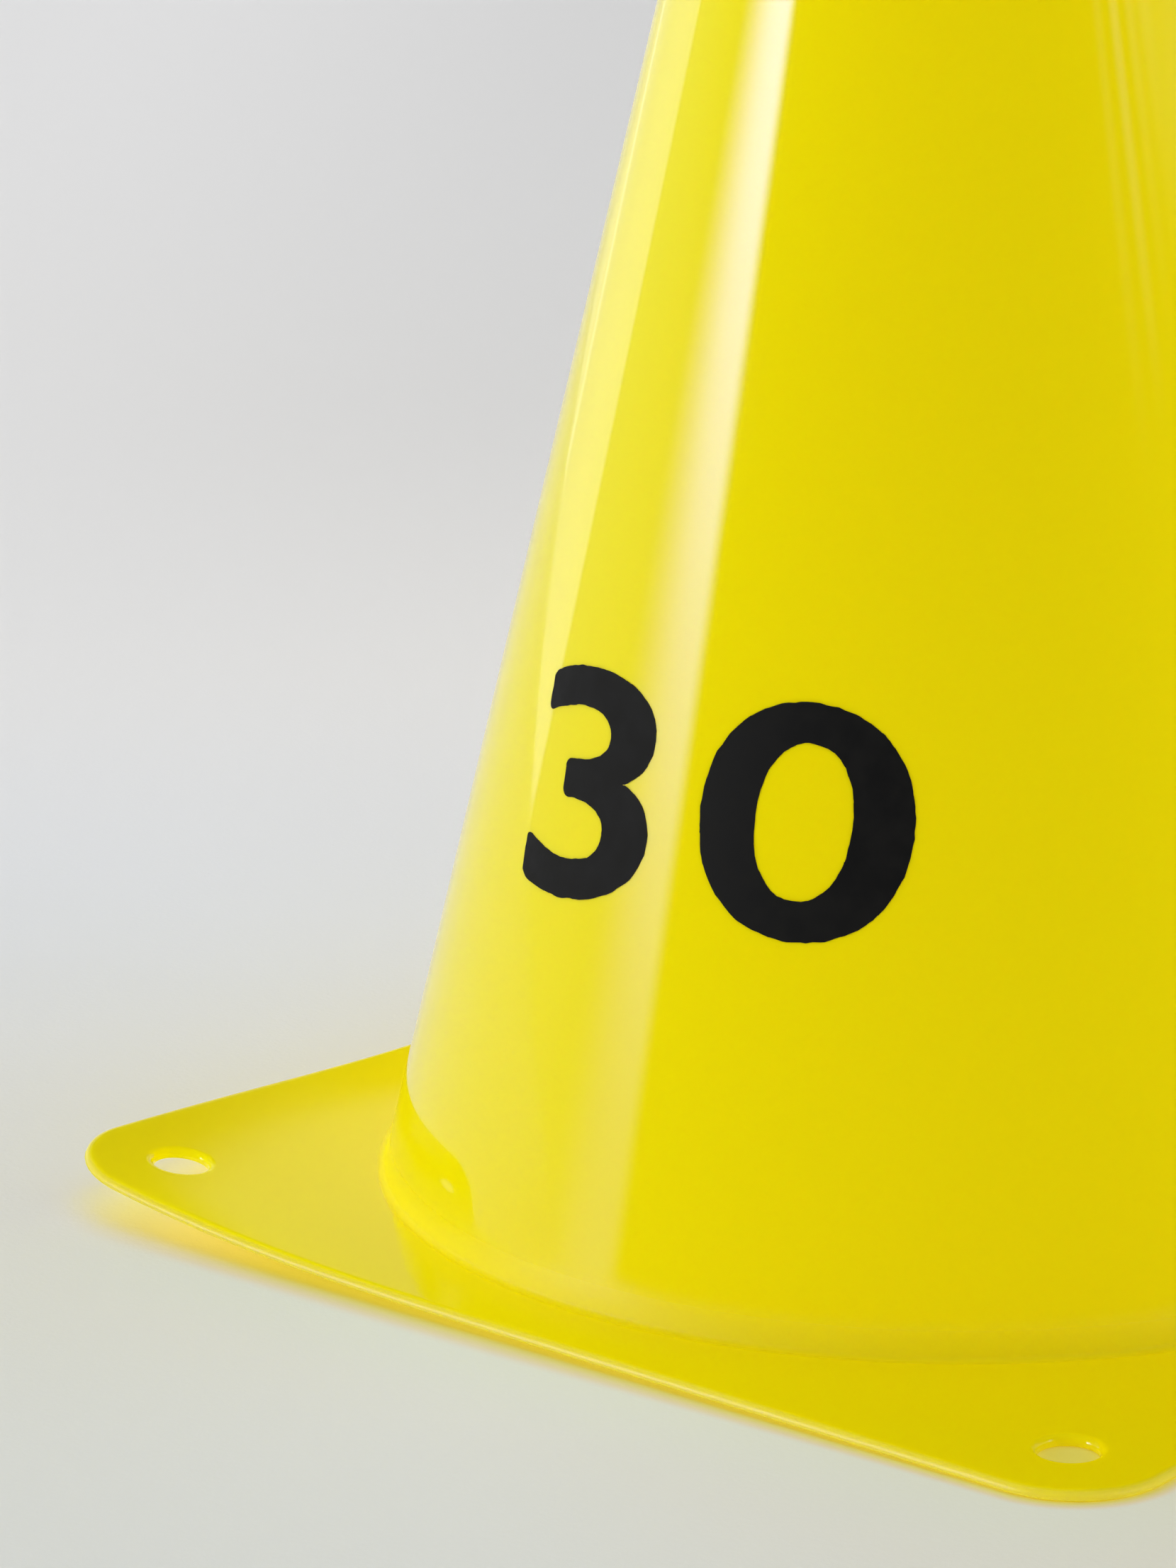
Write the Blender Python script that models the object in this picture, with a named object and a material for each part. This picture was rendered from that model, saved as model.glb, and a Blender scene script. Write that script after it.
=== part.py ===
"""Training cone: a thin-walled cone on a square flange, injection moulded as one piece.

Metres, +Z up. The origin is on the floor, under the cone's axis, and the flange's sides lie along X and Y.
The piece is open underneath, so that one cone nests over the next, and it has a hole in its top and in
each corner of the flange. The flange's +Y side has curled up off the floor, its two corners the most.
"""
import math

import bmesh
import bpy
from mathutils import Matrix, Vector

for old in list(bpy.data.objects):
    bpy.data.objects.remove(old, do_unlink=True)

# Driving dimensions, in metres.
CONE_HEIGHT = 0.300
FOOT_DIAMETER = 0.184
TOP_DIAMETER = 0.0445
WALL = 0.0016
FLANGE_MARGIN = 0.013
FLANGE_THICKNESS = 0.0016
FLANGE_CORNER_RADIUS = 0.016
FLANGE_EDGE_ROUNDING = 0.0005
CORNER_LIFT = 0.0064

# The flange's corner holes, and the hole in the cone's top.
CORNER_HOLE_DIAMETER = 0.0103
CORNER_HOLE_INSET = 0.016
CORNER_HOLE_ROUNDING = 0.0004
TOP_HOLE_DIAMETER = 0.028
TOP_HOLE_ROUNDING = 0.0006

# Where the wall meets the flange and the top.
FOOT_FILLET = 0.0012
FOOT_INNER_ROUNDING = 0.002
TOP_SHOULDER_RADIUS = 0.004

# How far the cutting pins' flares overrun the flange, and how close points are when they are welded.
FLARE_OVERRUN = 0.0003
WELD_DISTANCE = 0.00001

# Shares: the most of a thickness that one rounding takes, and the powers by which the curl spreads
# round the flange and rises outwards.
ROUNDING_LIMIT_SHARE = 0.45
CURL_SPREAD_SHARE = 2.5
CURL_RISE_SHARE = 1.25

# Facet counts. A quarter of the steps around is split alike between half a side, a corner and half a side.
STEPS_AROUND = 96
STEPS_PER_ROUNDING = 3
STEPS_ACROSS_FLANGE = 5
STEPS_ROUND_HOLE = 24

YELLOW = (0.76, 0.63, 0.002)
GLOSS_ROUGHNESS = 0.18
SMOOTH_ANGLE = math.radians(40)

foot_radius = FOOT_DIAMETER / 2
top_radius = TOP_DIAMETER / 2
half_side = foot_radius + FLANGE_MARGIN
corner_centre = half_side - FLANGE_CORNER_RADIUS
root_radius = foot_radius + FOOT_FILLET
taper = math.atan2(foot_radius - top_radius, CONE_HEIGHT - FLANGE_THICKNESS)


def outer_radius(height):
    """The cone's outer radius at a height, on its straight wall."""
    return foot_radius - math.tan(taper) * (height - FLANGE_THICKNESS)


def inner_radius(height):
    """The inner radius there, one wall further in, square to the slope."""
    return outer_radius(height) - WALL / math.cos(taper)


def limited(rounding, thickness):
    """A rounding, held under its share of the thickness that carries it."""
    return min(rounding, ROUNDING_LIMIT_SHARE * thickness)


def rounded_path(corners):
    """The points along a path of straight runs, given as ((across, height), rounding radius)."""
    path = [Vector(corners[0][0])]
    for before, (corner, radius), after in zip(corners, corners[1:], corners[2:]):
        corner = Vector(corner)
        back = (Vector(before[0]) - corner).normalized()
        ahead = (Vector(after[0]) - corner).normalized()
        half_angle = back.angle(ahead) / 2
        centre = corner + (back + ahead).normalized() * radius / math.sin(half_angle)
        start = corner + back * radius / math.tan(half_angle) - centre
        end = corner + ahead * radius / math.tan(half_angle) - centre
        sweep = start.angle_signed(end)
        for step in range(STEPS_PER_ROUNDING + 1):
            turn = Matrix.Rotation(-sweep * step / STEPS_PER_ROUNDING, 2)
            path.append(centre + turn @ start)
    path.append(Vector(corners[-1][0]))
    return path


def circle_point(index, radius):
    """Point number index of the steps around a circle, counted from +X."""
    angle = math.tau * index / STEPS_AROUND
    return Vector((radius * math.cos(angle), radius * math.sin(angle)))


def outline_point(index, inset):
    """The same step on the flange's outline, moved in by inset: a square with its corners on arcs."""
    quarter, step = divmod(index, STEPS_AROUND // 4)
    third = STEPS_AROUND // 12
    reach = half_side - inset
    if step <= third:
        point = Vector((reach, corner_centre * step / third))
    elif step <= 2 * third:
        angle = math.pi / 2 * (step - third) / third
        arc = FLANGE_CORNER_RADIUS - inset
        point = Vector((corner_centre + arc * math.cos(angle), corner_centre + arc * math.sin(angle)))
    else:
        point = Vector((corner_centre * (3 * third - step) / third, reach))
    return Matrix.Rotation(math.pi / 2 * quarter, 2) @ point


def spin(mesh, section, centre, phase, steps):
    """Turns a section of (radius, height) points about a vertical axis, starting at the phase angle."""
    outwards = Matrix.Rotation(phase, 2) @ Vector((1, 0))
    points = [mesh.verts.new((*(centre + outwards * radius), height)) for radius, height in section]
    path = [mesh.edges.new(pair) for pair in zip(points, points[1:])]
    bmesh.ops.spin(
        mesh, geom=points + path, cent=(*centre, 0), axis=(0, 0, 1), angle=math.tau, steps=steps,
        use_merge=True)


def wall(mesh):
    """The wall, its section turned: from the flange's top over the cone's top and down inside."""
    roof = CONE_HEIGHT - WALL
    lip_rounding = limited(TOP_HOLE_ROUNDING, WALL)
    inner_shoulder = max(TOP_SHOULDER_RADIUS - WALL, lip_rounding)
    hole_radius = TOP_HOLE_DIAMETER / 2
    section = rounded_path([
        ((root_radius, FLANGE_THICKNESS), 0),
        ((foot_radius, FLANGE_THICKNESS), FOOT_FILLET),
        ((top_radius, CONE_HEIGHT), TOP_SHOULDER_RADIUS),
        ((hole_radius, CONE_HEIGHT), lip_rounding),
        ((hole_radius, roof), lip_rounding),
        ((inner_radius(roof), roof), inner_shoulder),
        ((inner_radius(0), 0), FOOT_INNER_ROUNDING),
        ((root_radius, 0), 0),
    ])
    spin(mesh, section, Vector((0, 0)), 0, STEPS_AROUND)


def flange_ring(share, inset, height):
    """Points of the flange, a share of the way from the wall's rim to the square outline."""
    ring = []
    for index in range(STEPS_AROUND):
        rim = circle_point(index, root_radius)
        ring.append((*rim.lerp(outline_point(index, inset), share), height))
    return ring


def flange(mesh):
    """The flange, out from the wall along its underside, round its edge and back along its top."""
    rounding = limited(FLANGE_EDGE_ROUNDING, FLANGE_THICKNESS)
    edge = rounded_path([
        ((rounding, 0), 0),
        ((0, 0), rounding),
        ((0, FLANGE_THICKNESS), rounding),
        ((rounding, FLANGE_THICKNESS), 0),
    ])[1:-1]
    shares = [step / STEPS_ACROSS_FLANGE for step in range(STEPS_ACROSS_FLANGE)]
    outwards = [flange_ring(share, rounding, 0) for share in shares]
    around = [flange_ring(1, inset, height) for inset, height in edge]
    inwards = [flange_ring(share, rounding, FLANGE_THICKNESS) for share in reversed(shares)]
    rings = [[mesh.verts.new(point) for point in ring] for ring in outwards + around + inwards]
    for before, after in zip(rings, rings[1:]):
        for index in range(STEPS_AROUND):
            following = (index + 1) % STEPS_AROUND
            mesh.faces.new((before[index], before[following], after[following], after[index]))


def new_object(name, mesh_data):
    """An object in the scene that shows a mesh."""
    made = bpy.data.objects.new(name, mesh_data)
    bpy.context.scene.collection.objects.link(made)
    return made


def corner_hole_section():
    """A corner hole's radii and heights, flared where it breaks through the flange's two faces."""
    rounding = limited(CORNER_HOLE_ROUNDING, FLANGE_THICKNESS)
    radius = CORNER_HOLE_DIAMETER / 2
    bulge = rounding * (1 - math.cos(math.pi / 4))
    flare = radius + rounding + (rounding - bulge) / bulge * FLARE_OVERRUN
    lower = [(flare, -FLARE_OVERRUN), (radius + bulge, bulge), (radius, rounding)]
    return lower + [(across, FLANGE_THICKNESS - height) for across, height in reversed(lower)]


def corner_hole_cutter():
    """One flared pin through each corner of the flange, no edge of it on the flange's diagonals."""
    mesh = bmesh.new()
    reach = half_side - CORNER_HOLE_INSET
    half_step = math.pi / STEPS_ROUND_HOLE
    for quarter in range(4):
        centre = Matrix.Rotation(math.pi / 2 * quarter, 2) @ Vector((reach, reach))
        spin(mesh, corner_hole_section(), centre, half_step, STEPS_ROUND_HOLE)
    bmesh.ops.holes_fill(mesh, edges=mesh.edges)
    bmesh.ops.recalc_face_normals(mesh, faces=mesh.faces)
    data = bpy.data.meshes.new("corner_hole_cutter")
    mesh.to_mesh(data)
    mesh.free()
    cutter = new_object("corner_hole_cutter", data)
    cutter.hide_render = True
    cutter.display_type = "WIRE"
    return cutter


def cut(target, cutter):
    """Takes the cutter's shape out of the target for good."""
    modifier = target.modifiers.new("corner_holes", "BOOLEAN")
    modifier.operation = "DIFFERENCE"
    modifier.solver = "EXACT"
    modifier.object = cutter
    shown = target.evaluated_get(bpy.context.evaluated_depsgraph_get())
    whole = target.data
    target.data = bpy.data.meshes.new_from_object(shown)
    target.modifiers.clear()
    bpy.data.meshes.remove(whole)
    bpy.data.objects.remove(cutter, do_unlink=True)


def curl_flange(mesh):
    """Lifts the flange towards +Y by its distance out from the cone's foot, most at the two corners."""
    corner_reach = math.hypot(corner_centre, corner_centre) + FLANGE_CORNER_RADIUS - foot_radius
    for vert in mesh.verts:
        distance = math.hypot(vert.co.x, vert.co.y)
        if distance > foot_radius and vert.co.y > 0:
            rise = ((distance - foot_radius) / corner_reach) ** CURL_RISE_SHARE
            turn = (vert.co.y / distance / math.sin(math.pi / 4)) ** CURL_SPREAD_SHARE
            vert.co.z += CORNER_LIFT * rise * turn


def plastic(name, colour, roughness):
    """The moulding's plastic, coloured right through."""
    material = bpy.data.materials.new(name)
    material.use_nodes = True
    shader = material.node_tree.nodes["Principled BSDF"]
    shader.inputs["Base Color"].default_value = (*colour, 1.0)
    shader.inputs["Roughness"].default_value = roughness
    shader.inputs["Metallic"].default_value = 0.0
    return material


def moulded_cone():
    """The whole moulding: its wall and flange welded flat, holed at the corners, then the flange curled."""
    skin = bmesh.new()
    wall(skin)
    flange(skin)
    bmesh.ops.remove_doubles(skin, verts=skin.verts, dist=WELD_DISTANCE)
    bmesh.ops.recalc_face_normals(skin, faces=skin.faces)
    data = bpy.data.meshes.new("moulded_cone")
    skin.to_mesh(data)
    skin.free()
    cone = new_object("moulded_cone", data)
    cut(cone, corner_hole_cutter())
    mesh = bmesh.new()
    mesh.from_mesh(cone.data)
    curl_flange(mesh)
    mesh.to_mesh(cone.data)
    mesh.free()
    cone.data.name = "moulded_cone"
    cone.data.materials.append(plastic("yellow_plastic", YELLOW, GLOSS_ROUGHNESS))
    cone.data.shade_smooth()
    cone.data.set_sharp_from_angle(angle=SMOOTH_ANGLE)
    return cone


moulded_cone()
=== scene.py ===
import math

import bmesh
import bpy
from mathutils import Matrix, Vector, noise


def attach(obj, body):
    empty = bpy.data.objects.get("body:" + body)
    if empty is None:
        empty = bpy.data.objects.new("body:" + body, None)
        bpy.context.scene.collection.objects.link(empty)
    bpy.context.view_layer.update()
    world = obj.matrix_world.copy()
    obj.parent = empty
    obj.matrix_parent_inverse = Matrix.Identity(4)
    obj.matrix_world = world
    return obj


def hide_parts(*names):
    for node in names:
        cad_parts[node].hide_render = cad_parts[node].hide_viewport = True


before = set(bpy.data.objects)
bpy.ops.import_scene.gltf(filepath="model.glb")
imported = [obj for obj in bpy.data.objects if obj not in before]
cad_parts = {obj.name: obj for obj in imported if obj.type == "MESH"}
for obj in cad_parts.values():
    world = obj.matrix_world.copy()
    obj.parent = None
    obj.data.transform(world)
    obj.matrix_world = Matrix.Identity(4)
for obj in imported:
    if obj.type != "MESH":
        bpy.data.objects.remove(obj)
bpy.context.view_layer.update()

# The moulded cone. The real one is a single thin-walled moulding in dyed soft plastic, open underneath,
# with a square flange whose far side has curled up off the floor. Its skin is modelled from the wall's
# outside and the flange's top, and is then given its thickness downwards and inwards.
CONE_HEIGHT = 0.300
FOOT_RADIUS = 0.092
TOP_RADIUS = 0.02225
TOP_HOLE_RADIUS = 0.014
WALL = 0.0016
SHOULDER_RADIUS = 0.004
FOOT_FILLET = 0.0012
FLANGE_SIDE = 0.210
FLANGE_CORNER_RADIUS = 0.016
FLASH_REACH = 0.00016
ROOT_RADIUS = 0.0953
STEPS_AROUND = 384
WALL_RINGS = 30
SHOULDER_STEPS = 8
FILLET_STEPS = 5
TOUCH = 1e-6
RING_TOUCH = 1e-5
foot_height = WALL
taper = math.atan2(FOOT_RADIUS - TOP_RADIUS, CONE_HEIGHT - foot_height)
bend_share = math.tan((math.pi / 2 - taper) / 2)


def select_only(piece):
    """Selects one piece alone and makes it the active one."""
    bpy.ops.object.select_all(action="DESELECT")
    piece.select_set(True)
    bpy.context.view_layer.objects.active = piece


def edit(piece, kind):
    """Opens one piece alone in edit mode, to pick its verts, edges or faces."""
    select_only(piece)
    bpy.ops.object.mode_set(mode="EDIT")
    bpy.ops.mesh.select_mode(type=kind)
    bpy.ops.mesh.select_all(action="DESELECT")


def pick(piece, items, wanted):
    """Selects only those verts, edges or faces of the edited piece that a test wants."""
    bpy.ops.mesh.select_all(action="DESELECT")
    mesh = bmesh.from_edit_mesh(piece.data)
    for item in getattr(mesh, items):
        if wanted(item):
            item.select_set(True)
    mesh.select_flush_mode()
    bmesh.update_edit_mesh(piece.data)


def leave_edit():
    bpy.ops.object.mode_set(mode="OBJECT")


def at_height(height):
    """A test for edges that lie at a height."""
    return lambda edge: all(abs(vert.co.z - height) < TOUCH for vert in edge.verts)


def on_ring(height, radius):
    """A test for the edges of a level ring round the axis."""
    return lambda edge: at_height(height)(edge) and all(
        abs(vert.co.xy.length - radius) < RING_TOUCH for vert in edge.verts)


def upright(edge):
    """A test for the long edges that run up the bare wall."""
    return abs(edge.verts[0].co.z - edge.verts[1].co.z) > CONE_HEIGHT / 2


def draw_out(scale_share, height):
    """Extrudes the picked ring level, towards the axis or away from it."""
    bpy.ops.mesh.extrude_region_move(TRANSFORM_OT_translate={"value": (0, 0, 0)})
    bpy.ops.transform.resize(value=(scale_share, scale_share, 1), center_override=(0, 0, height))


bpy.ops.object.select_all(action="DESELECT")
bpy.ops.mesh.primitive_cone_add(
    vertices=STEPS_AROUND, radius1=FOOT_RADIUS, radius2=TOP_RADIUS, depth=CONE_HEIGHT - foot_height,
    end_fill_type="NOTHING", location=(0, 0, (CONE_HEIGHT + foot_height) / 2))
cone = bpy.context.object
cone.name = "moulded_shell"
bpy.ops.object.transform_apply(location=True, rotation=True, scale=True)

# The wall is ringed, then its top turns in to the hole and its foot turns out to the flange.
edit(cone, "EDGE")
pick(cone, "edges", upright)
bpy.ops.mesh.subdivide(number_cuts=WALL_RINGS - 1)
pick(cone, "edges", at_height(CONE_HEIGHT))
draw_out(TOP_HOLE_RADIUS / TOP_RADIUS, CONE_HEIGHT)
pick(cone, "edges", on_ring(CONE_HEIGHT, TOP_RADIUS))
bpy.ops.mesh.bevel(
    offset=SHOULDER_RADIUS * bend_share, segments=SHOULDER_STEPS, profile=0.5, affect="EDGES")
pick(cone, "edges", at_height(foot_height))
draw_out(ROOT_RADIUS / FOOT_RADIUS, foot_height)
pick(cone, "edges", on_ring(foot_height, FOOT_RADIUS))
bpy.ops.mesh.bevel(offset=FOOT_FILLET * bend_share, segments=FILLET_STEPS, profile=0.5, affect="EDGES")
leave_edit()

# The flange's outline, a square with rounded corners, is laid out lower down and bridged to the piece's
# outer ring, first a little inside the rim and then at the rim. All of it then comes up level.
RIM_STRIP = 0.002
FLANGE_RINGS = 20
OUTLINE_DROP = 0.05
CORNER_STEPS = STEPS_AROUND // 12
SIDE_STEPS = STEPS_AROUND // 6


def outline_wire(inset, height):
    """A closed wire along the flange's outline, drawn in by an inset, in even steps."""
    side = FLANGE_SIDE - 2 * inset
    bpy.ops.object.select_all(action="DESELECT")
    bpy.ops.mesh.primitive_plane_add(size=side, location=(0, 0, height))
    wire = bpy.context.object
    bpy.ops.object.transform_apply(location=True, rotation=True, scale=True)
    edit(wire, "VERT")
    bpy.ops.mesh.select_all(action="SELECT")
    bpy.ops.mesh.bevel(
        offset=FLANGE_CORNER_RADIUS - inset, segments=CORNER_STEPS, profile=0.5, affect="VERTICES")
    bpy.ops.mesh.select_all(action="SELECT")
    bpy.ops.mesh.delete(type="ONLY_FACE")
    bpy.ops.mesh.select_mode(type="EDGE")
    pick(wire, "edges", lambda edge: edge.calc_length() > side / 2)
    bpy.ops.mesh.subdivide(number_cuts=SIDE_STEPS - 1)
    leave_edit()
    return wire


def join(pieces):
    """Joins pieces into the first of them."""
    select_only(pieces[0])
    for piece in pieces:
        piece.select_set(True)
    bpy.ops.object.join()


def bridge_to_outline(piece, inset, cuts):
    """Bridges the piece's outer ring to the flange's outline, drawn in by an inset."""
    bottom = min(vert.co.z for vert in piece.data.vertices)
    join([piece, outline_wire(inset, bottom - OUTLINE_DROP)])
    edit(piece, "EDGE")
    pick(piece, "edges", lambda edge: not edge.link_faces or edge.is_boundary and at_height(bottom)(edge))
    bpy.ops.mesh.bridge_edge_loops(number_cuts=cuts, interpolation="LINEAR")
    leave_edit()


bridge_to_outline(cone, FLASH_REACH + RIM_STRIP, FLANGE_RINGS)
bridge_to_outline(cone, FLASH_REACH, 0)
edit(cone, "VERT")
pick(cone, "verts", lambda vert: vert.co.z < foot_height + TOUCH)
bpy.ops.transform.resize(value=(1, 1, 0), center_override=(0, 0, foot_height))
bpy.ops.mesh.select_all(action="SELECT")
bpy.ops.mesh.normals_make_consistent(inside=False)
leave_edit()

# The skin gets its wall, and its free rims their rounding, widest along the flange's top.
RIM_ROUNDING = 0.00138
LOWER_RIM_ROUNDING = 0.0002
LIP_ROUNDING = 0.0006
ROUNDING_STEPS = 6
SHARP_ANGLE = 1
FREE_RIMS = (
    (WALL, False, RIM_ROUNDING),
    (0, False, LOWER_RIM_ROUNDING),
    (CONE_HEIGHT, True, LIP_ROUNDING),
    (CONE_HEIGHT - WALL, True, LIP_ROUNDING))


def apply_modifier(piece, kind, **settings):
    """Adds a modifier to a piece and applies it."""
    select_only(piece)
    modifier = piece.modifiers.new(kind.lower(), kind)
    for name, value in settings.items():
        setattr(modifier, name, value)
    bpy.ops.object.modifier_apply(modifier=modifier.name)


def free_rim(height, at_top_hole):
    """A test for the sharp edges round the flange, or else round the top hole, at a height."""
    def wanted(edge):
        near_axis = edge.verts[0].co.xy.length < FOOT_RADIUS / 2
        chosen = at_height(height)(edge) and near_axis == at_top_hole
        return chosen and edge.calc_face_angle(0) > SHARP_ANGLE
    return wanted


apply_modifier(
    cone, "SOLIDIFY", thickness=WALL, offset=-1, use_even_offset=True, use_quality_normals=True)
edit(cone, "EDGE")
for height, at_top_hole, rounding in FREE_RIMS:
    pick(cone, "edges", free_rim(height, at_top_hole))
    bpy.ops.mesh.bevel(offset=rounding, segments=ROUNDING_STEPS, profile=0.5, affect="EDGES")
leave_edit()

# The flange's top sinks a little towards its rim, as moulded sheet does.
SINK_WIDTH = 0.009
SINK_DEPTH = 0.00012
for vert in cone.data.vertices:
    rim_distance = FLANGE_SIDE / 2 - max(abs(vert.co.x), abs(vert.co.y))
    if rim_distance < SINK_WIDTH and vert.co.z < WALL + TOUCH:
        sink = SINK_DEPTH * (1 - rim_distance / SINK_WIDTH) ** 2
        vert.co.z -= sink * max(0, vert.co.z - LOWER_RIM_ROUNDING) / (WALL - LOWER_RIM_ROUNDING)

# Flash, the paper-thin ragged lip where the two halves of the mould met, is drawn out of a narrow band
# low on the flange's rim. Coarse and fine noise, in waves per metre, make its edge ragged.
FLASH_HEIGHT = 0.00024
FLASH_THICKNESS = 0.00009
FLASH_LEAST = 0.00003
FLASH_MOST = 0.00014
FLASH_WAVER = 0.00005
FLASH_CUTS = 5
RIM_MARGIN = 0.00005
UPRIGHT_SHARE = 0.2
RAGGED_MIDDLE = 0.5
COARSE_SHARE = 0.5
COARSE_WAVES = 700
FINE_SHARE = 0.35
FINE_WAVES = 2600
WAVER_WAVES = 900
WAVER_SHIFT = Vector((0, 0, 3))
corner_centre = FLANGE_SIDE / 2 - FLANGE_CORNER_RADIUS
rim_reach = FLANGE_CORNER_RADIUS - FLASH_REACH - RIM_MARGIN
flash_top = FLASH_HEIGHT + FLASH_THICKNESS


def outward(place):
    """The level step to a place from the square that joins the centres of the flange's corners."""
    inner = [max(-corner_centre, min(corner_centre, value)) for value in place.xy]
    return Vector((place.x - inner[0], place.y - inner[1], 0))


def on_rim(face):
    """A test for the upright faces of the flange's rim."""
    return abs(face.normal.z) < UPRIGHT_SHARE and outward(face.calc_center_median()).length > rim_reach


def bounds_flash(edge):
    """A test for the level edges along both sides of the flash's band."""
    level = at_height(FLASH_HEIGHT)(edge) or at_height(flash_top)(edge)
    return level and outward(edge.verts[0].co).length > rim_reach


def in_flash(face):
    """A test for the faces of the flash's band."""
    return on_rim(face) and all(FLASH_HEIGHT - TOUCH < vert.co.z < flash_top + TOUCH for vert in face.verts)


edit(cone, "FACE")
for height in (FLASH_HEIGHT, flash_top):
    pick(cone, "faces", on_rim)
    bpy.ops.mesh.bisect(plane_co=(0, 0, height), plane_no=(0, 0, 1), threshold=TOUCH)
bpy.ops.mesh.select_mode(type="EDGE")
pick(cone, "edges", bounds_flash)
bpy.ops.mesh.subdivide(number_cuts=FLASH_CUTS)
bpy.ops.mesh.select_mode(type="FACE")
pick(cone, "faces", in_flash)
bpy.ops.mesh.extrude_region_move(TRANSFORM_OT_translate={"value": (0, 0, 0)})
skin = bmesh.from_edit_mesh(cone.data)
for vert in [vert for vert in skin.verts if vert.select]:
    spot = Vector((vert.co.x, vert.co.y, 0))
    coarse = COARSE_SHARE * noise.noise(spot * COARSE_WAVES)
    fine = FINE_SHARE * noise.noise(spot * FINE_WAVES)
    ragged = min(1, max(0, RAGGED_MIDDLE + coarse + fine))
    vert.co += outward(vert.co).normalized() * (FLASH_LEAST + (FLASH_MOST - FLASH_LEAST) * ragged)
    vert.co.z += FLASH_WAVER * noise.noise(spot * WAVER_WAVES + WAVER_SHIFT)
bmesh.update_edit_mesh(cone.data)
leave_edit()

# Four pins cut the flange's corner holes. A pin widens round a full curve where it leaves the flange's
# top, and ends in a slight slope so that its flare leaves the top cleanly.
CORNER_HOLE_RADIUS = 0.0046
CORNER_HOLE_INSET = 0.016
HOLE_RIM_ROUNDING = 0.0012
HOLE_STEPS = 64
HOLE_ROUNDING_STEPS = 8
DIP_SLOPE = math.radians(2)
FLARE_SHARE = 1.1
DIP_RADIUS = CORNER_HOLE_RADIUS + FLARE_SHARE * HOLE_RIM_ROUNDING
UPWARD_SHARE = 0.9
hole_reach = FLANGE_SIDE / 2 - CORNER_HOLE_INSET
dip_depth = (DIP_RADIUS - CORNER_HOLE_RADIUS) * math.tan(DIP_SLOPE)
rounding_offset = HOLE_RIM_ROUNDING * math.tan((math.pi / 2 - DIP_SLOPE) / 2)
pin_top = WALL - dip_depth
bpy.ops.object.select_all(action="DESELECT")
bpy.ops.mesh.primitive_cylinder_add(
    vertices=HOLE_STEPS, radius=CORNER_HOLE_RADIUS, depth=2 * WALL, end_fill_type="NGON",
    location=(hole_reach, hole_reach, pin_top - WALL))
pin = bpy.context.object
bpy.ops.object.transform_apply(location=True, rotation=True, scale=True)
edit(pin, "FACE")
pick(pin, "faces", lambda face: face.normal.z > UPWARD_SHARE)
bpy.ops.mesh.extrude_region_move(TRANSFORM_OT_translate={"value": (0, 0, 0)})
widening = 2 * DIP_RADIUS / CORNER_HOLE_RADIUS - 1
bpy.ops.transform.resize(value=(widening, widening, 1), center_override=(hole_reach, hole_reach, pin_top))
bpy.ops.transform.translate(value=(0, 0, 2 * dip_depth))
bpy.ops.mesh.select_mode(type="EDGE")
pick(pin, "edges", at_height(pin_top))
bpy.ops.mesh.bevel(offset=rounding_offset, segments=HOLE_ROUNDING_STEPS, profile=0.5, affect="EDGES")
leave_edit()
pins = [pin]
for quarter in range(3):
    select_only(pins[-1])
    bpy.ops.object.duplicate(linked=False)
    bpy.ops.transform.rotate(value=math.pi / 2, orient_axis="Z", center_override=(0, 0, 0))
    bpy.ops.object.transform_apply(location=True, rotation=True, scale=True)
    pins.append(bpy.context.object)
join(pins)
apply_modifier(cone, "BOOLEAN", operation="DIFFERENCE", solver="EXACT", object=pin)
bpy.data.objects.remove(pin, do_unlink=True)
edit(cone, "VERT")
bpy.ops.mesh.select_all(action="SELECT")
bpy.ops.mesh.remove_doubles(threshold=TOUCH)
leave_edit()

# The flange's far side has curled up, its corners most. The weights are halved, because a weight stops
# at one and the curl's share just passes it beside the corners.
CORNER_LIFT = 0.0064
CURL_RISE_POWER = 1.25
CURL_SPREAD_POWER = 2.5
SMOOTH_ANGLE = math.radians(35)
corner_reach = math.hypot(corner_centre, corner_centre) + FLANGE_CORNER_RADIUS - FOOT_RADIUS


def curl_share(place):
    """How far a point of the flange rises, as a share of the corner's lift."""
    distance = math.hypot(place.x, place.y)
    if distance <= FOOT_RADIUS or place.y <= 0:
        return 0
    rise = ((distance - FOOT_RADIUS) / corner_reach) ** CURL_RISE_POWER
    return rise * (place.y / distance / math.sin(math.pi / 4)) ** CURL_SPREAD_POWER


curl = cone.vertex_groups.new(name="curl")
for vert in cone.data.vertices:
    share = curl_share(vert.co)
    if share > 0:
        curl.add([vert.index], share / 2, "REPLACE")
apply_modifier(
    cone, "DISPLACE", direction="Z", mid_level=0, strength=2 * CORNER_LIFT, vertex_group="curl")
cone.vertex_groups.clear()
select_only(cone)
bpy.ops.object.shade_smooth_by_angle(angle=SMOOTH_ANGLE, keep_sharp_edges=False)
apply_modifier(cone, "WEIGHTED_NORMAL", keep_sharp=True)

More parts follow.
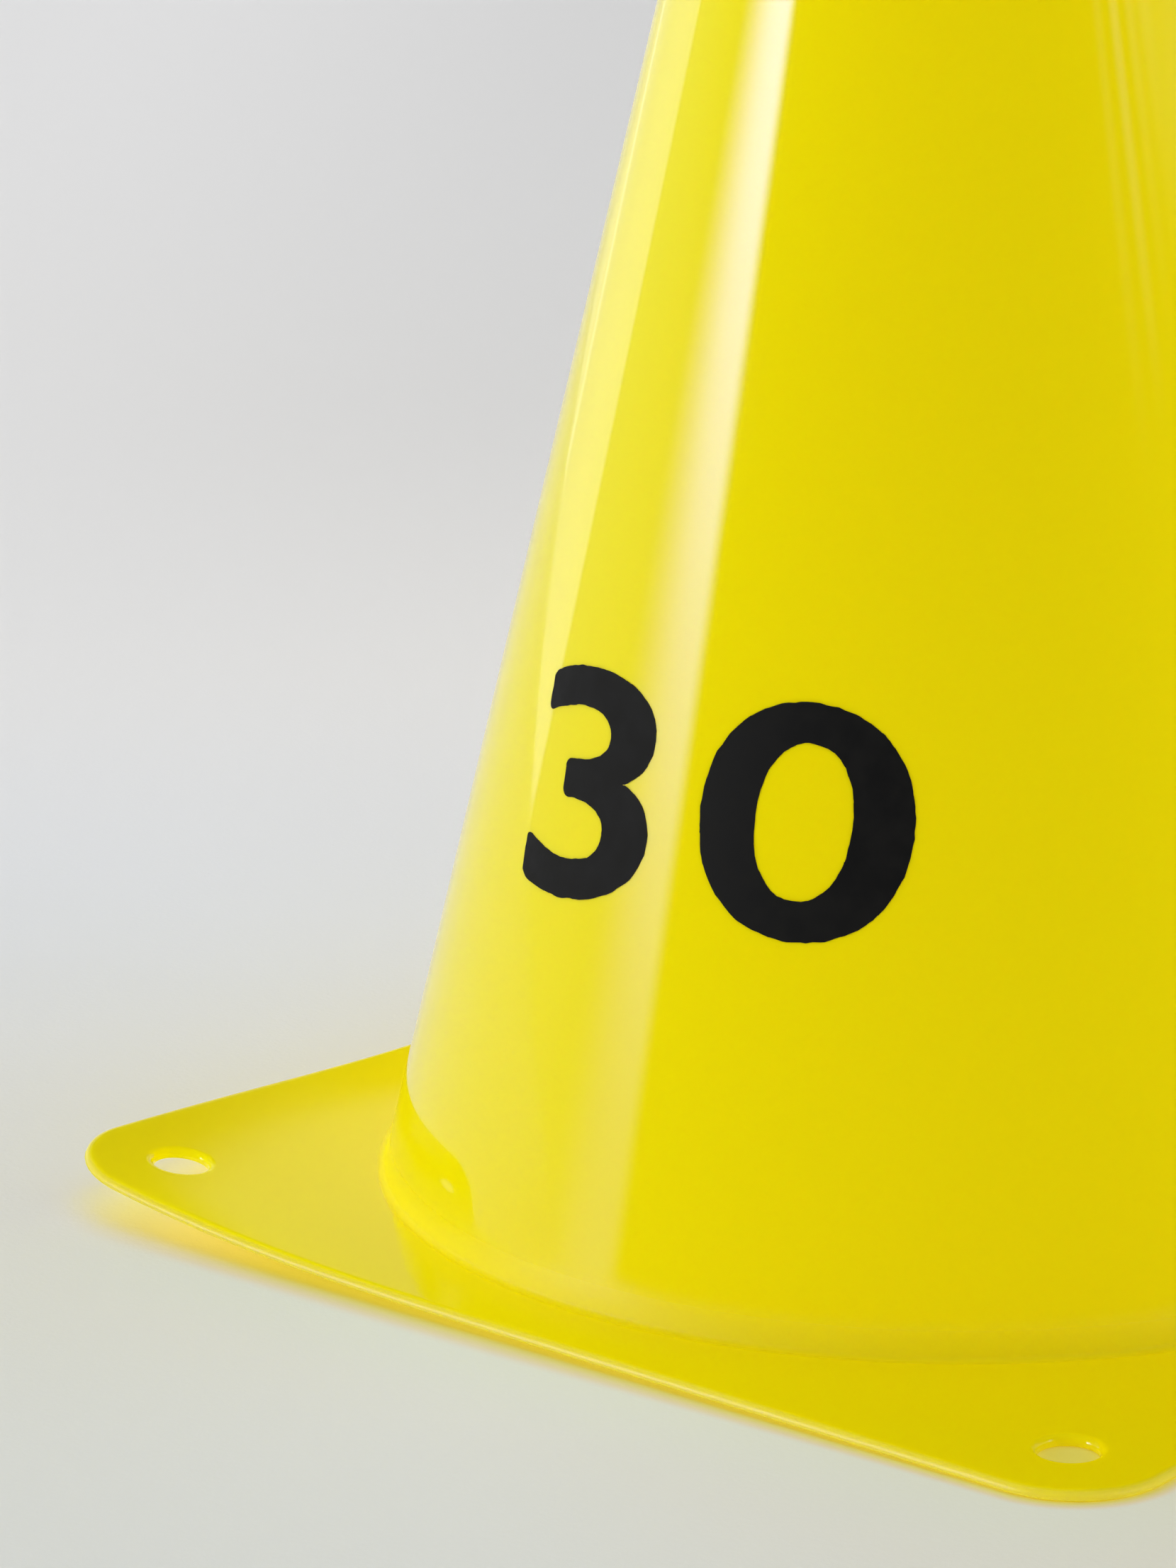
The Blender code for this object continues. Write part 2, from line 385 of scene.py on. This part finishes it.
# The plastic is glossy and lets a little light into itself. Light and shade are painted into its colour:
# painted shade on the side turned from the soft light, on the wall and the flange; painted bounce light low
# on the wall; the flange painted paler where lit and paler still where it curls up; and a painted sheen on
# the flange's rim. A faint random cloud also varies the wall's tone. Its gloss is smoother on the wall than
# on the rim and in the fillet. A noise is given as scale, detail and roughness, and a relief as strength
# and depth.
YELLOW = (0.80, 0.738, 0.001, 1)
SHADE_AND_CLOUD_YELLOW = (0.785, 0.681, 0.001, 1)
PAINTED_BOUNCE_YELLOW = (0.825, 0.737, 0.001, 1)
SHADED_FLANGE_YELLOW = (0.755, 0.664, 0.001, 1)
LIT_FLANGE_YELLOW = (0.84, 0.76, 0.001, 1)
LIT_CURL_YELLOW = (0.915, 0.84, 0.001, 1)
PAINTED_RIM_SHEEN = (0.77, 0.675, 0.045, 1)
LIGHT_THROUGH = (0.985, 0.89, 0.27, 1)
GLOSS_TINT = (0.42, 0.46, 1, 1)
SHADED_SIDE = math.radians(230)
SHADED_SIDE_SPREAD = (0.3, 1)
CLOUD_NOISE = (14, 3, 0.5)
CLOUD_SPREAD = (0.35, 0.75)
CLOUD_SHARE = 0.1
BOUNCE_HEIGHTS = (0.002, 0.18)
BOUNCE_SHARE = 0.6
FLANGE_HEIGHTS = (0.002, 0.008)
LIT_CURL_PLACES = (0.02, 0.09)
RIM_BAND = (-0.0013, -0.0005)
FOOT_BAND = 0.002
SMEAR_NOISE = (35, 5, 0.6)
SMEAR_SPREAD = (0.4, 0.8)
WALL_ROUGHNESS = 0.05
SMEAR_ROUGHNESS = 0.03
RIM_ROUGHNESS = 0.33
FOOT_ROUGHNESS = 0.5
WAVE_NOISE = (22, 2, 0.5)
WAVE_RELIEF = (0.03, 0.0004)
LIGHT_DEPTH = 0.0015
LIGHT_SPREAD = (1.0, 0.95, 0.1)


class Paint:
    """A value or colour inside a finish. Sums on values are written as in Python, and add Math nodes."""

    def __init__(self, tree, socket):
        self.tree = tree
        self.socket = socket

    def node(self, kind, settings, sockets, output=0):
        """Adds a node of any kind with its settings and what goes into its sockets."""
        made = self.tree.nodes.new(kind)
        for name, value in settings.items():
            setattr(made, name, value)
        for name, value in sockets.items():
            if isinstance(value, Paint):
                value.feed(made, name)
            else:
                made.inputs[name].default_value = value
        return Paint(self.tree, made.outputs[output])

    def feed(self, node, name):
        """Leads this value or colour into a node's socket."""
        self.tree.links.new(self.socket, node.inputs[name])

    def math(self, operation, *values):
        return self.node("ShaderNodeMath", {"operation": operation}, dict(enumerate(values)))

    def __add__(self, other):
        return self.math("ADD", self, other)

    def __radd__(self, other):
        return self.math("ADD", other, self)

    def __sub__(self, other):
        return self.math("SUBTRACT", self, other)

    def __rsub__(self, other):
        return self.math("SUBTRACT", other, self)

    def __mul__(self, other):
        return self.math("MULTIPLY", self, other)

    def __rmul__(self, other):
        return self.math("MULTIPLY", other, self)

    def __truediv__(self, other):
        return self.math("DIVIDE", self, other)

    def __pow__(self, other):
        return self.math("POWER", self, other)

    def between(self, low, high):
        """How far the value has come from low to high, from 0 to 1 with soft ends."""
        return self.node(
            "ShaderNodeMapRange", {"interpolation_type": "SMOOTHSTEP"},
            {"Value": self, "From Min": low, "From Max": high})

    def until(self, low, high):
        """1 up to low, then down to 0 at high with soft ends."""
        return 1 - self.between(low, high)

    def ridge(self, centre, reach):
        """A soft peak of 1 where the value is at the centre, down to 0 within reach on either side."""
        return self.between(centre - reach, centre) * self.until(centre, centre + reach)

    def fade(self, first, second):
        """The first colour where this value is 0, fading into the second where it is 1."""
        return self.node("ShaderNodeMix", {"data_type": "RGBA"}, {0: self, 6: first, 7: second}, 2)

    def part(self, axis):
        """One axis of a direction or a place."""
        return self.node("ShaderNodeSeparateXYZ", {}, {"Vector": self}, axis)

    def mottle(self, scale, detail, roughness):
        """Soft noise over a place."""
        return self.node(
            "ShaderNodeTexNoise", {},
            {"Vector": self, "Scale": scale, "Detail": detail, "Roughness": roughness}, "Fac")

    def relief(self, strength, depth):
        """The bump of a surface that has this value as its height."""
        return self.node("ShaderNodeBump", {}, {"Strength": strength, "Distance": depth, "Height": self})


def new_finish(name):
    """A material, its Principled shader, and its object coordinates to paint with."""
    finish = bpy.data.materials.new(name)
    finish.use_nodes = True
    tree = finish.node_tree
    shader = tree.nodes["Principled BSDF"]
    place = Paint(tree, tree.nodes.new("ShaderNodeTexCoord").outputs["Object"])
    return finish, shader, place


def dress(piece, finish):
    """Gives a piece its one finish."""
    piece.data.materials.clear()
    piece.data.materials.append(finish)


def reach_from_axis(place):
    """How far a place lies from the cone's axis."""
    return (place.part(0) ** 2 + place.part(1) ** 2) ** 0.5


def beyond_outline(place):
    """How far a place lies outside the flange's outline, below 0 inside it."""
    across = place.math("ABSOLUTE", place.part(0)) - corner_centre
    along = place.math("ABSOLUTE", place.part(1)) - corner_centre
    corner = (place.math("MAXIMUM", across, 0.0) ** 2 + place.math("MAXIMUM", along, 0.0) ** 2) ** 0.5
    inside = place.math("MINIMUM", place.math("MAXIMUM", across, along), 0.0)
    return corner + inside - FLANGE_CORNER_RADIUS


plastic, shader, place = new_finish("dyed soft plastic")
distance = reach_from_axis(place)
# Painted shade: the side turned from the soft light is painted a darker yellow, on the wall and the flange.
facing = (place.part(0) * math.cos(SHADED_SIDE) + place.part(1) * math.sin(SHADED_SIDE)) / distance
painted_shade = facing.between(*SHADED_SIDE_SPREAD)
cloud = place.mottle(*CLOUD_NOISE).between(*CLOUD_SPREAD)
rim = beyond_outline(place).between(*RIM_BAND)
wall_tone = (painted_shade * (1 - CLOUD_SHARE) + cloud * CLOUD_SHARE).fade(YELLOW, SHADE_AND_CLOUD_YELLOW)
# Painted bounce light: the wall is painted paler low down, near the floor.
wall_tone = (place.part(2).until(*BOUNCE_HEIGHTS) * BOUNCE_SHARE).fade(wall_tone, PAINTED_BOUNCE_YELLOW)
# Painted light and shade on the flange: paler where lit, paler still on the curled far side, darker on the
# side turned from the soft light.
flange_tone = place.part(1).between(*LIT_CURL_PLACES).fade(LIT_FLANGE_YELLOW, LIT_CURL_YELLOW)
flange_tone = painted_shade.fade(flange_tone, SHADED_FLANGE_YELLOW)
tone = place.part(2).until(*FLANGE_HEIGHTS).fade(wall_tone, flange_tone)
# Painted sheen: the flange's rounded rim is painted a duller, paler yellow.
rim.fade(tone, PAINTED_RIM_SHEEN).feed(shader, "Base Color")
smear = place.mottle(*SMEAR_NOISE).between(*SMEAR_SPREAD)
foot = distance.ridge(FOOT_RADIUS, FOOT_BAND)
rough = WALL_ROUGHNESS + smear * SMEAR_ROUGHNESS + rim * RIM_ROUGHNESS + foot * FOOT_ROUGHNESS
rough.feed(shader, "Roughness")
place.mottle(*WAVE_NOISE).relief(*WAVE_RELIEF).feed(shader, "Normal")
shader.inputs["IOR"].default_value = 1.5
shader.inputs["Specular Tint"].default_value = GLOSS_TINT
shader.inputs["Subsurface Weight"].default_value = 1
shader.inputs["Subsurface Radius"].default_value = LIGHT_SPREAD
shader.inputs["Subsurface Scale"].default_value = LIGHT_DEPTH

# The thin wall throws a yellow shadow, because it lets light through: only shadows see the clear shader.
nodes, links = plastic.node_tree.nodes, plastic.node_tree.links
clear = nodes.new("ShaderNodeBsdfTransparent")
clear.inputs["Color"].default_value = LIGHT_THROUGH
through = nodes.new("ShaderNodeMixShader")
links.new(nodes.new("ShaderNodeLightPath").outputs["Is Shadow Ray"], through.inputs[0])
links.new(shader.outputs[0], through.inputs[1])
links.new(clear.outputs[0], through.inputs[2])
links.new(through.outputs[0], nodes["Material Output"].inputs["Surface"])
dress(cone, plastic)
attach(cone, "root")
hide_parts("moulded_cone")

# The printed number. The real print is one film of black ink laid on the wall, about 37 mm high, low on
# the wall's near left. It is cut out flat and wrapped round the taper without stretching.
NUMBER = "30"
NUMBER_HEIGHT = 0.0365
NUMBER_WIDTH = 0.072
NUMBER_AZIMUTH = math.radians(185.2)
NUMBER_MIDDLE = 0.0802
INK_RISE = 0.00004
DRAWN_SIZE = 0.05
STROKE_FATTENING = 0.0008
DIGIT_SPACING = 1.1
CURVE_STEPS = 10
GRID_STEP = 0.001
CORNER_ROUNDING = 0.0012
CORNER_ROUNDING_STEPS = 5
CORNER_BEND = 0.7
DRAWN_TOUCH = 1e-5
GRID_TOUCH = 2e-5
FLAT_BEND = 0.01
FILM_SMOOTH_ANGLE = math.radians(40)
COARSE_WANDER = 0.00018
COARSE_WANDER_WAVES = 420
FINE_WANDER = 0.0001
FINE_WANDER_WAVES = 1500
WANDER_SEED = 1


def is_corner(vert):
    """A test for an outer corner of a flat piece's outline."""
    sides = [edge.other_vert(vert).co - vert.co for edge in vert.link_edges if edge.is_boundary]
    bends = len(sides) == 2 and sides[0].angle(sides[1]) < math.pi - CORNER_BEND
    return bends and vert.link_loops[0].is_convex


bpy.ops.object.select_all(action="DESELECT")
bpy.ops.object.text_add(location=(0, 0, 0))
number = bpy.context.object
number.name = "printed_number"
number.data.body = NUMBER
number.data.size = DRAWN_SIZE
number.data.offset = STROKE_FATTENING
number.data.space_character = DIGIT_SPACING
number.data.resolution_u = CURVE_STEPS
number.data.align_x = "CENTER"
bpy.ops.object.convert(target="MESH")
edit(number, "VERT")
bpy.ops.mesh.select_all(action="SELECT")
bpy.ops.mesh.remove_doubles(threshold=DRAWN_TOUCH)
bpy.ops.mesh.select_all(action="SELECT")
bpy.ops.mesh.dissolve_limited(angle_limit=FLAT_BEND, use_dissolve_boundaries=False)
pick(number, "verts", is_corner)
bpy.ops.mesh.bevel(
    offset=CORNER_ROUNDING, segments=CORNER_ROUNDING_STEPS, profile=0.5, affect="VERTICES")
bpy.ops.mesh.select_all(action="SELECT")
bpy.ops.mesh.quads_convert_to_tris()
leave_edit()

# The flat digits are brought to their size and cut along a fine grid, so that they can bend.
low = Vector([min(vert.co[axis] for vert in number.data.vertices) for axis in range(3)])
high = Vector([max(vert.co[axis] for vert in number.data.vertices) for axis in range(3)])
size_shares = (NUMBER_WIDTH / (high.x - low.x), NUMBER_HEIGHT / (high.y - low.y), 1)
edit(number, "VERT")
bpy.ops.mesh.select_all(action="SELECT")
bpy.ops.transform.translate(value=-(low + high) / 2)
bpy.ops.transform.resize(value=size_shares, center_override=(0, 0, 0))
for axis, half in ((0, NUMBER_WIDTH / 2), (1, NUMBER_HEIGHT / 2)):
    square_to = Vector((0, 0, 0))
    square_to[axis] = 1
    steps = round(half / GRID_STEP)
    for step in range(-steps, steps + 1):
        line = Vector((0, 0, 0))
        line[axis] = step * GRID_STEP
        bpy.ops.mesh.select_all(action="SELECT")
        bpy.ops.mesh.bisect(plane_co=line, plane_no=square_to)
bpy.ops.mesh.select_all(action="SELECT")
bpy.ops.mesh.remove_doubles(threshold=GRID_TOUCH)

# The ink's edge wanders a little, as print on plastic does, before the film is wrapped. The seed makes
# this noise the same on each run.
noise.seed_set(WANDER_SEED)
film = bmesh.from_edit_mesh(number.data)
for vert in film.verts:
    if vert.is_boundary:
        coarse = noise.noise_vector(vert.co * COARSE_WANDER_WAVES) * COARSE_WANDER
        fine = noise.noise_vector(vert.co * FINE_WANDER_WAVES) * FINE_WANDER
        wander = coarse + fine
        vert.co += Vector((wander.x, wander.y, 0))
bmesh.update_edit_mesh(number.data)
leave_edit()
middle_radius = FOOT_RADIUS - math.tan(taper) * (NUMBER_MIDDLE - foot_height)
middle_slant = middle_radius / math.sin(taper)
for vert in number.data.vertices:
    across, up = vert.co.x, vert.co.y
    slant = math.hypot(across, middle_slant - up)
    angle = NUMBER_AZIMUTH + math.atan2(across, middle_slant - up) / math.sin(taper)
    radius = slant * math.sin(taper) + INK_RISE
    height = NUMBER_MIDDLE + (middle_slant - slant) * math.cos(taper) + INK_RISE * math.tan(taper)
    vert.co = (radius * math.cos(angle), radius * math.sin(angle), height)
apply_modifier(number, "SOLIDIFY", thickness=2 * INK_RISE, offset=-1)
bpy.ops.object.shade_smooth_by_angle(angle=FILM_SMOOTH_ANGLE)

# The ink is a matt black with a fine grain that makes it a little paler and rougher in places.
BLACK = (0.004, 0.004, 0.0043, 1)
WORN_BLACK = (0.0065, 0.0063, 0.0062, 1)
INK_NOISE = (260, 4, 0.6)
INK_RELIEF = (0.2, 0.00003)
WORN_SPREAD = (0.35, 0.7)
ROUGH_SPREAD = (0.3, 0.7)
INK_ROUGHNESS = 0.55
GRAIN_ROUGHNESS = 0.12
ink, shader, place = new_finish("printing ink")
grain = place.mottle(*INK_NOISE)
grain.between(*WORN_SPREAD).fade(BLACK, WORN_BLACK).feed(shader, "Base Color")
(INK_ROUGHNESS + grain.between(*ROUGH_SPREAD) * GRAIN_ROUGHNESS).feed(shader, "Roughness")
grain.relief(*INK_RELIEF).feed(shader, "Normal")
shader.inputs["Specular IOR Level"].default_value = 0.15
dress(number, ink)
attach(number, "root")

# The studio floor, a wide sheet of fine-grained pale paper. The cone stands on it with its near side, and
# its curled far side is a little off the paper. Light and shade are painted on the paper: darker towards
# the camera, bluish behind the cone, paler far off and dimmer to the right, with painted shade and a
# painted shadow fringe beside the flange's rim, and a painted yellow glow beside the rim for the light that
# comes through the flange, less where the flange is lifted.
FLOOR_RADIUS = 2.6
FLOOR_STEPS = 96
FLOOR_TILT = 0.009
SHADED_NEAR_PAPER = (0.733, 0.75, 0.737, 1)
MIDDLE_PAPER = (0.785, 0.81, 0.865, 1)
LIT_FAR_PAPER = (0.86, 0.86, 0.865, 1)
PAINTED_DIM_PAPER = (0.75, 0.75, 0.75, 1)
RIM_SHADE_PAPER = (0.715, 0.765, 0.745, 1)
SHADOW_FRINGE = (0.74, 0.665, 0.56, 1)
PAINTED_NEAR_GLOW = (0.705, 0.67, 0.16, 1)
PAINTED_LIFTED_GLOW = (0.785, 0.735, 0.38, 1)
ONWARDS = (0.770, 0.638)
MIDDLE_PLACES = (-0.08, 0.1)
FAR_PLACES = (0.1, 0.4)
DIM_PLACES = (-0.35, 0.05)
DIM_DISTANCES = (0.3, 0.8)
RIM_SHADE_REACH = 0.03
GLOW_LEAST = 0.003
GLOW_GAIN = 0.0036
GLOW_GAIN_PLACES = (-0.09, 0.03)
GLOW_FADE_PLACES = (0.055, 0.105)
GLOW_SPREAD = (-0.1, 0.8)
SHADOW_FRINGE_SPREAD = (0.45, 1)
SHADOW_FRINGE_SHARE = 0.8
LIFTED_PLACES = (0.04, 0.09)
PAPER_NOISE = (900, 2, 0.6)
PAPER_RELIEF = (0.3, 0.0002)
bpy.ops.object.select_all(action="DESELECT")
bpy.ops.mesh.primitive_circle_add(
    vertices=FLOOR_STEPS, radius=FLOOR_RADIUS, fill_type="NGON", rotation=(-FLOOR_TILT, 0, 0),
    location=(0, 0, -FLOOR_TILT * FLANGE_SIDE / 2))
floor = bpy.context.object
floor.name = "studio_floor"
paper, shader, place = new_finish("pale studio paper")
onwards = place.part(0) * ONWARDS[0] + place.part(1) * ONWARDS[1]
sideways = place.part(0) * ONWARDS[1] - place.part(1) * ONWARDS[0]
farness = place.part(1)
# Painted shade: the paper is painted dimmer to the right, away from the cone.
painted_dimness = sideways.between(*DIM_PLACES) * reach_from_axis(place).between(*DIM_DISTANCES)
# Painted light and shade: the paper is painted darker on the near side, bluish behind the cone and paler
# far off.
painted_paper_light = onwards.between(*MIDDLE_PLACES).fade(SHADED_NEAR_PAPER, MIDDLE_PAPER)
painted_paper_light = onwards.between(*FAR_PLACES).fade(painted_paper_light, LIT_FAR_PAPER)
painted_paper_light = painted_dimness.fade(painted_paper_light, PAINTED_DIM_PAPER)
past_rim = beyond_outline(place)
# Painted light: the yellow light that comes through the flange is painted on the paper beside the rim,
# paler where the flange is lifted.
glow_share = farness.until(*GLOW_FADE_PLACES)
glow_reach = past_rim / (GLOW_LEAST + farness.between(*GLOW_GAIN_PLACES) * GLOW_GAIN)
painted_glow_tone = farness.between(*LIFTED_PLACES).fade(PAINTED_NEAR_GLOW, PAINTED_LIFTED_GLOW)
# Painted shadow: a pinkish fringe is painted at the edge of the flange's shadow on the paper.
shadow_fringe = glow_reach.until(*SHADOW_FRINGE_SPREAD) * glow_share * SHADOW_FRINGE_SHARE
# Painted shade: the paper within a few centimetres of the flange's rim is painted darker and greener.
painted_paper_light = (past_rim.until(0, RIM_SHADE_REACH) * glow_share).fade(painted_paper_light, RIM_SHADE_PAPER)
painted_paper_light = shadow_fringe.fade(painted_paper_light, SHADOW_FRINGE)
painted_paper_light = (glow_reach.until(*GLOW_SPREAD) * glow_share).fade(painted_paper_light, painted_glow_tone)
painted_paper_light.feed(shader, "Base Color")
place.mottle(*PAPER_NOISE).relief(*PAPER_RELIEF).feed(shader, "Normal")
shader.inputs["Roughness"].default_value = 0.9
shader.inputs["Specular IOR Level"].default_value = 0.1
dress(floor, paper)

# The studio light that the gloss mirrors, painted on the world by direction, in degrees turned to the
# camera's left and degrees raised: a tall soft light with a crisp edge, a paler screen further round with
# a bright rim, slats to the right, bars high up, pale walls behind and a dark room in front.
CAMERA_AZIMUTH = math.radians(215.4)
SOFTBOX_LEVEL = 13
SOFTBOX_RISE = (1, 18)
SOFTBOX_FOOT_LEVEL = 1.4
SOFTBOX_FOOT = (-9, -4)
SOFTBOX_EDGE = (63.5, 68)
SOFTBOX_FADE = (71, 91)
SOFTBOX_TOP = (24, 30)
SCREEN_LEVEL = 1.45
SCREEN_EDGE = (115.6, 116.8)
SCREEN_LOSSES = ((0.85, 117, 141), (0.35, 148, 158))
SCREEN_TOP = (9, 13)
SCREEN_RIM_LEVEL = 0.6
SCREEN_RIM_TURN = 150
SCREEN_RIM_WIDTH = 2.5
SCREEN_RIM_LEAN = 2.7
SCREEN_RIM_TOP = (3, 6)
SLATS = ((-61, 3, 0.3), (-68, 3, 1), (-75, 3.5, 0.6), (-82, 6, 0.8))
SLAT_LEAN = 0.45
SLAT_MIDDLE = 16
SLAT_FOOT = (10.5, 16)
SLAT_GAIN = 4
SLAT_GAIN_HEIGHTS = (17, 24)
SLAT_TOP = (32, 40)
BAR_LEVEL = 0.4
BAR_HEIGHTS = (31, 40)
BAR_WIDTH = 3
BAR_START = (100, 120)
BAR_END = (145, 155)
ROOM_LEVEL = 0.03
WALL_LEVEL = 0.52
WALL_LOSS = 0.22
WALL_LOSS_HEIGHTS = (8, 14)
WALL_START = (80, 92)
WALL_TOP = (21, 26)
WALL_TOP_GAIN = 2.5
WALL_TOP_GAIN_TURNS = (135, 150)
BACKDROP_LEVEL = 0.73
world = bpy.data.worlds.new("studio")
bpy.context.scene.world = world
world.use_nodes = True
tree = world.node_tree
tree.nodes.clear()
direction = Paint(tree, tree.nodes.new("ShaderNodeTexCoord").outputs["Generated"])
towards = (math.cos(CAMERA_AZIMUTH), math.sin(CAMERA_AZIMUTH), 0)
leftwards = (math.cos(CAMERA_AZIMUTH - math.pi / 2), math.sin(CAMERA_AZIMUTH - math.pi / 2), 0)


def share_along(axis):
    """The direction's share along an axis."""
    return direction.node(
        "ShaderNodeVectorMath", {"operation": "DOT_PRODUCT"}, {0: direction, 1: axis}, "Value")


turn = direction.math("ARCTAN2", share_along(leftwards), share_along(towards)) * math.degrees(1)
height = direction.math("ARCSINE", direction.part(2)) * math.degrees(1)
behind = turn.math("ABSOLUTE", turn)
softbox = height.between(*SOFTBOX_RISE) * SOFTBOX_LEVEL
softbox = softbox + height.between(*SOFTBOX_FOOT) * SOFTBOX_FOOT_LEVEL
softbox = softbox * turn.between(*SOFTBOX_EDGE) * turn.until(*SOFTBOX_FADE) * height.until(*SOFTBOX_TOP)
screen = SCREEN_LEVEL
for loss, start, end in SCREEN_LOSSES:
    screen = screen - turn.between(start, end) * loss
screen = turn.between(*SCREEN_EDGE) * screen * height.until(*SCREEN_TOP)
screen_rim = (turn - height * SCREEN_RIM_LEAN).ridge(SCREEN_RIM_TURN, SCREEN_RIM_WIDTH)
screen_rim = screen_rim * height.until(*SCREEN_RIM_TOP) * SCREEN_RIM_LEVEL
leaning_turn = turn - (height - SLAT_MIDDLE) * SLAT_LEAN
slats = 0
for centre, width, slat_level in SLATS:
    slats = slats + leaning_turn.ridge(centre, width) * slat_level
slats = slats * height.between(*SLAT_FOOT) * height.until(*SLAT_TOP)
slats = slats * (1 + height.between(*SLAT_GAIN_HEIGHTS) * SLAT_GAIN)
bars = height.ridge(BAR_HEIGHTS[0], BAR_WIDTH) + height.ridge(BAR_HEIGHTS[1], BAR_WIDTH)
bars = bars * turn.between(*BAR_START) * turn.until(*BAR_END) * BAR_LEVEL
wall_height = height - behind.between(*WALL_TOP_GAIN_TURNS) * WALL_TOP_GAIN
walls = WALL_LEVEL - height.between(*WALL_LOSS_HEIGHTS) * WALL_LOSS
walls = walls * behind.between(*WALL_START) * wall_height.until(*WALL_TOP)
level = ROOM_LEVEL + walls + softbox + screen + screen_rim + slats + bars
sight = direction.node("ShaderNodeLightPath", {}, {}, "Is Camera Ray")
background = tree.nodes.new("ShaderNodeBackground")
background.inputs["Color"].default_value = (1, 1, 1, 1)
(level * (1 - sight) + sight * BACKDROP_LEVEL).feed(background, "Strength")
output = tree.nodes.new("ShaderNodeOutputWorld")
tree.links.new(background.outputs[0], output.inputs["Surface"])

# Soft lamps that light the cone and the floor but don't show in the gloss. Each has a name, its degrees
# turned to the camera's left, degrees raised, degrees of spread, and its level.
LAMPS = (
    ("front_low", -10, 3, 30, 1.70),
    ("right_low", -95, 5, 40, 0.8),
    ("left_low", 95, 5, 40, 0.9),
    ("overhead", 100, 60, 80, 0.07),
    ("back_light", 150, 40, 50, 1.05),
    ("front_high", -60, 68, 60, 1.03))
for name, turned, raised, spread, energy in LAMPS:
    lamp_data = bpy.data.lights.new(name, "SUN")
    lamp_data.energy = energy
    lamp_data.angle = math.radians(spread)
    lamp = bpy.data.objects.new(name, lamp_data)
    bpy.context.scene.collection.objects.link(lamp)
    azimuth = CAMERA_AZIMUTH - math.radians(turned)
    lift = math.radians(raised)
    lamp_from = Vector((
        math.cos(azimuth) * math.cos(lift), math.sin(azimuth) * math.cos(lift), math.sin(lift)))
    lamp.rotation_euler = lamp_from.to_track_quat("Z", "Y").to_euler()
    lamp.visible_glossy = False

# The camera stands where the photograph was taken from, about 0.8 m off and a little under the cone's
# top, with the photograph's angle of view.
CAMERA_PLACE = (-0.63126, -0.44852, 0.27212)
CAMERA_HEADING = -0.8787
CAMERA_DIP = 0.25925
FOCAL_PIXELS = 6803.5
PHOTO_HEIGHT_PIXELS = 2212
SENSOR_HEIGHT_MM = 36
camera_data = bpy.data.cameras.new("camera")
camera_data.sensor_fit = "VERTICAL"
camera_data.sensor_height = SENSOR_HEIGHT_MM
camera_data.lens = FOCAL_PIXELS / PHOTO_HEIGHT_PIXELS * SENSOR_HEIGHT_MM
camera = bpy.data.objects.new("camera", camera_data)
bpy.context.scene.collection.objects.link(camera)
camera.location = CAMERA_PLACE
camera.rotation_euler = (math.pi / 2 - CAMERA_DIP, 0, CAMERA_HEADING)
bpy.context.scene.camera = camera
bpy.context.scene.view_settings.view_transform = "Standard"
